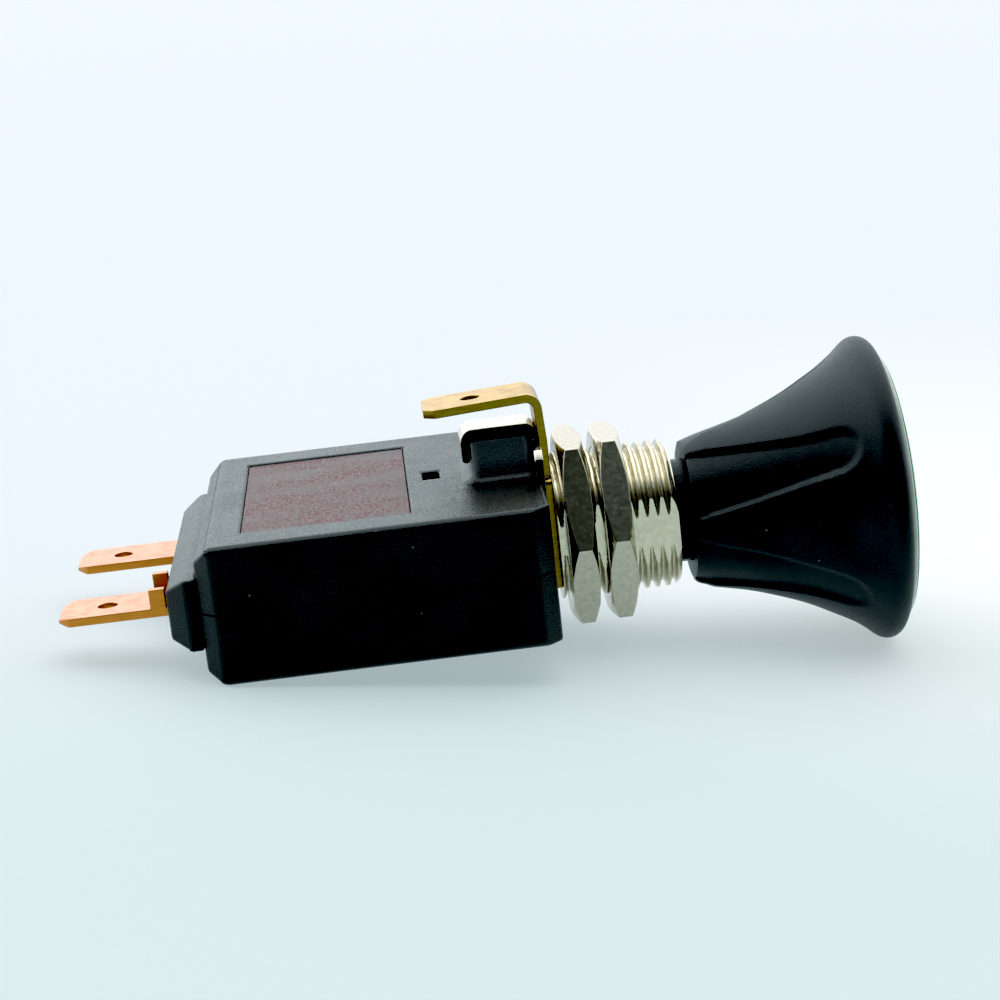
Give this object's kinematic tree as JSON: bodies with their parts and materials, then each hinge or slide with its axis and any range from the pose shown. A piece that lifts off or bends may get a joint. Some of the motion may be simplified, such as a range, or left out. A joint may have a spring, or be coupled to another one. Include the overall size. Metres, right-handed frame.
{
  "type": "illuminated push-pull switch",
  "caption": "Panel-mounted push-pull switch with a fluted trumpet knob, domed green lens, threaded bush with thin hex nuts, flat box housing and push-on blade terminals.",
  "frame": {"origin": "on the bush axis, in the plane of the rear nut's front face, where the panel sits", "axes": "+X along the axis towards the knob, the way it pulls out; +Z towards the earth tab; the D flat of the bush faces -Y"},
  "size_m": [0.0799, 0.036, 0.029],
  "materials": {
    "plated_casting": "dull nickel plate over a die-cast bush",
    "nut_plating": "bright nickel plate, fine grain",
    "tab_brass": "stamped brass, satin",
    "strap_plating": "nickel-plated steel strip",
    "housing_plastic": "black glass-filled plastic, fine texture",
    "window_film": "speckled translucent film",
    "terminal_copper": "stamped copper strip",
    "stem_plastic": "black moulded plastic",
    "contact_bronze": "spring bronze",
    "lamp_brass": "satin",
    "lamp_glass": "clear",
    "slider_plastic": "natural nylon",
    "spring_steel": "bright",
    "knob_plastic": "black, fine spark texture",
    "ring_plastic": "pale translucent",
    "lens_green": "transparent green, polished"
  },
  "bodies": {
    "switch_body": {"threaded_bush": "plated_casting", "rear_nut": "nut_plating", "front_nut": "nut_plating", "earth_tab": "tab_brass", "strap_bracket": "strap_plating", "housing_upper": "housing_plastic", "housing_lower": "housing_plastic", "window_film": "window_film", "terminal_block": "housing_plastic", "near_terminal": "terminal_copper", "far_terminal": "terminal_copper"},
    "plunger": {"knob": "knob_plastic", "lens": "lens_green", "lens_ring": "ring_plastic", "stem": "stem_plastic", "earth_leaf": "contact_bronze", "lamp_cap": "lamp_brass", "lamp_bulb": "lamp_glass", "feed_rod": "lamp_brass", "slider": "slider_plastic", "retaining_clip": "spring_steel", "contact_bridge": "terminal_copper", "feed_leaf": "contact_bronze", "bridge_springs": "spring_steel", "detent_ball": "spring_steel", "detent_spring": "spring_steel"}
  },
  "joints": [
    {"name": "knob_pull", "type": "slide", "parent": "switch_body", "child": "plunger", "axis": [1, 0, 0], "range_m": [0, 0.008]}
  ]
}
